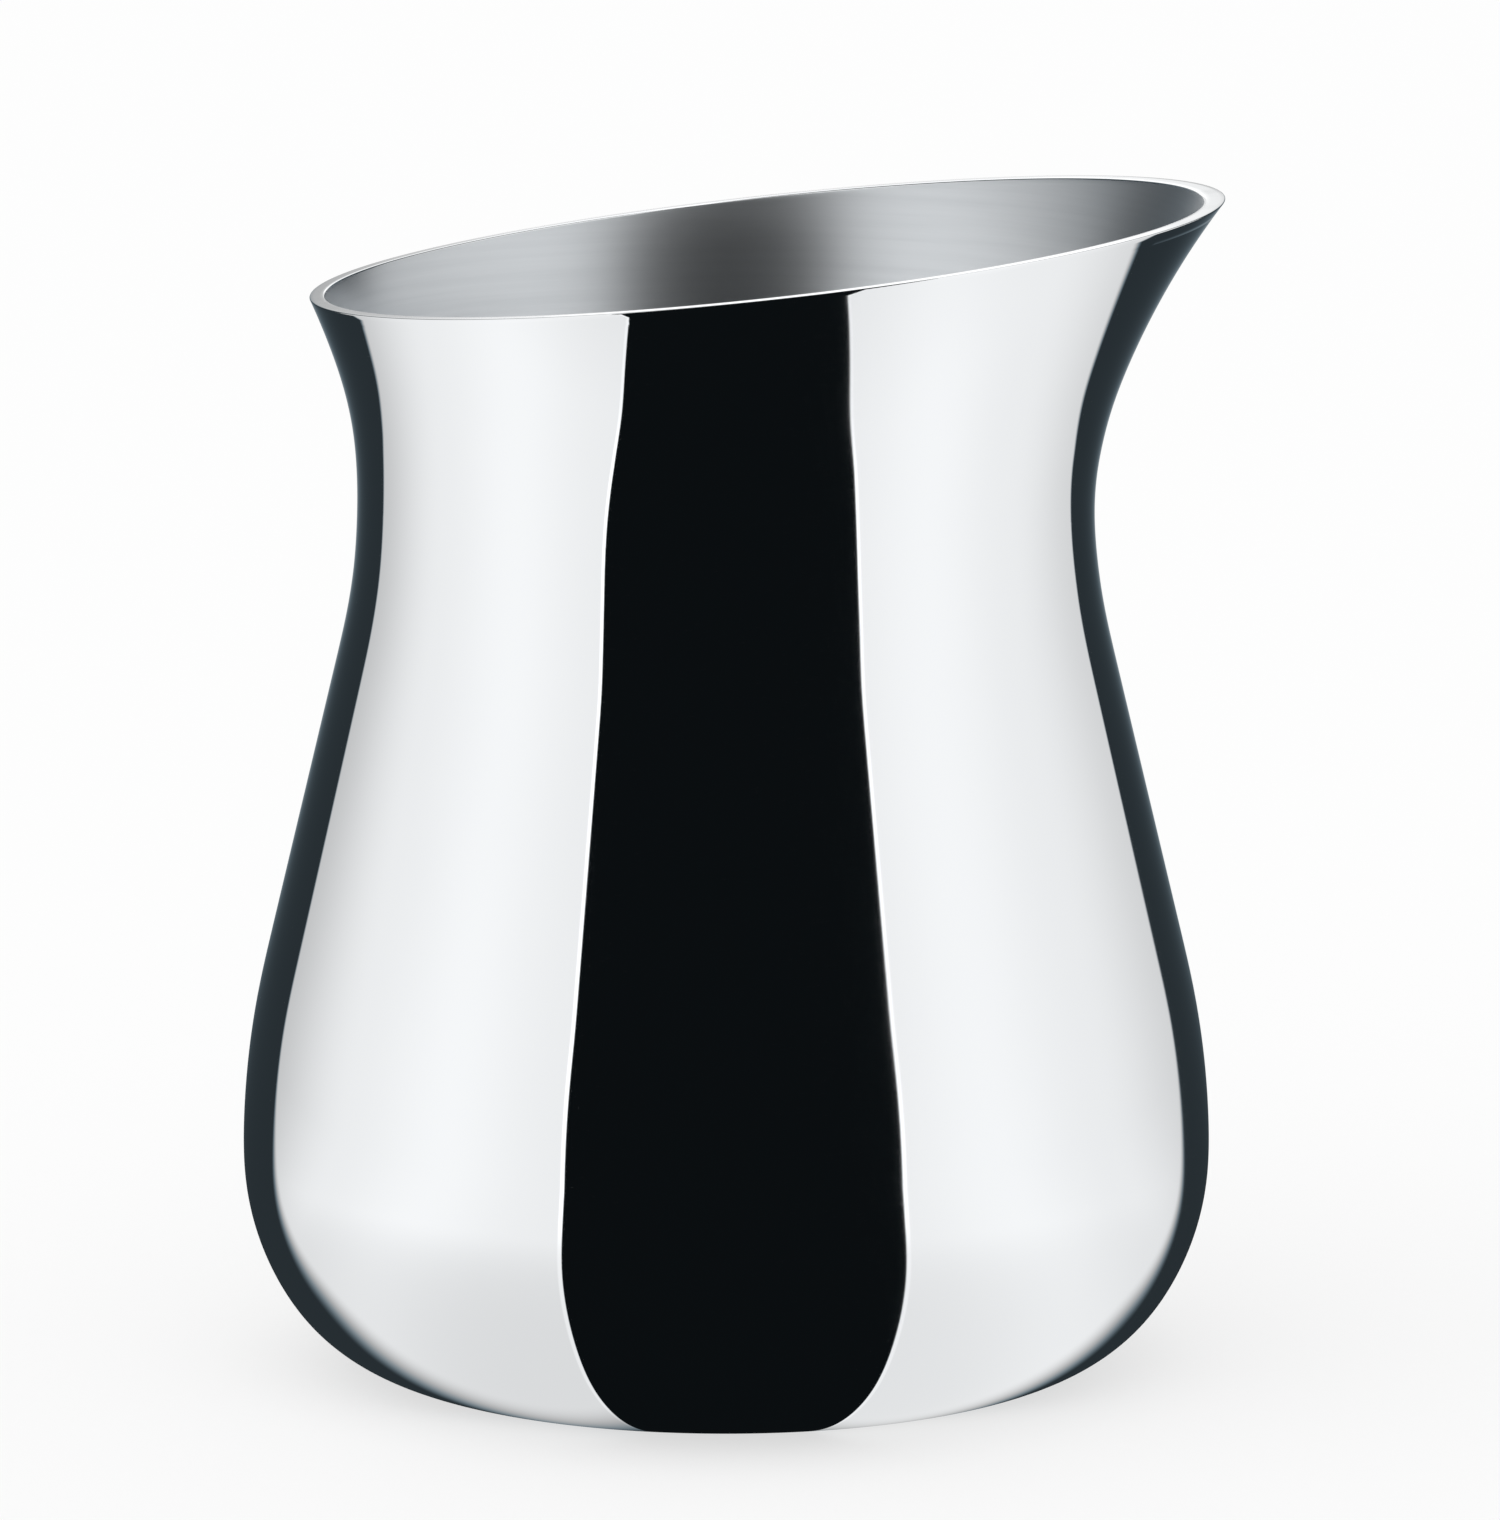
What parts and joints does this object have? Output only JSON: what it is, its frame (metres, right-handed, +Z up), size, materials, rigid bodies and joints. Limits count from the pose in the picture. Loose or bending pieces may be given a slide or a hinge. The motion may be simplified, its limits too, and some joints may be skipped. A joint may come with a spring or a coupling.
{
  "type": "cream jug",
  "caption": "Handleless metal cream jug with a wide belly, a narrow waist and a flared, slanted mouth that rises to the pouring lip.",
  "frame": {"origin": "centre of the ring the jug stands on, on the belly's axis, at the table", "axes": "+Z up along the belly's axis, +X toward the pouring lip"},
  "size_m": [0.0767, 0.076, 0.0927],
  "materials": {
    "polished_sheet": "mirror polished outside, satin inside",
    "polished_wire": "polished face, satin inside",
    "satin_plate": "fine turned satin",
    "solder": "cleaned and burnished solder"
  },
  "bodies": {
    "root": {"belly_shell": "polished_sheet", "neck": "polished_sheet", "mouth_wire": "polished_wire", "bottom_plate": "satin_plate", "waist_solder": "solder", "mouth_solder": "solder", "bottom_solder": "solder"}
  },
  "joints": []
}
